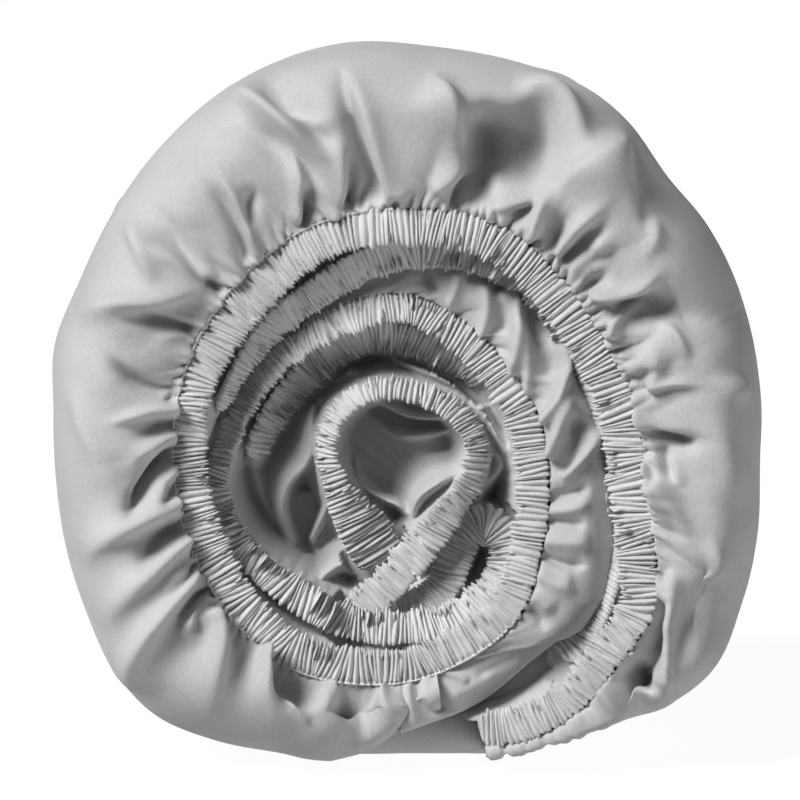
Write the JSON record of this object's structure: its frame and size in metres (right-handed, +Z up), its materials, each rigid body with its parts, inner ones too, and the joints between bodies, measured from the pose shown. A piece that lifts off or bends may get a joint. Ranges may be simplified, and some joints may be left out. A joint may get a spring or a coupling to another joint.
{
  "type": "fitted sheet, rolled up",
  "caption": "Fitted bed sheet rolled up and lying on its side, its gathered elastic edge wound in a spiral at the front.",
  "frame": {"origin": "on the surface the roll lies on, under the middle of its bounding box", "axes": "+Z up; the roll's axis runs along Y, with the mouth and its gathered elastic edge facing -Y; +X to the right as seen from the front"},
  "size_m": [0.2217, 0.2285, 0.2235],
  "materials": {
    "sheet_cloth": "plain light grey woven cotton, soft sheen",
    "casing_cloth": "the same cloth, closely gathered over elastic"
  },
  "bodies": {
    "root": {"sheet_roll": "sheet_cloth", "casing_turns": "casing_cloth", "casing_under_outer": "casing_cloth", "casing_under_second": "casing_cloth", "casing_loop": "casing_cloth"}
  },
  "joints": []
}
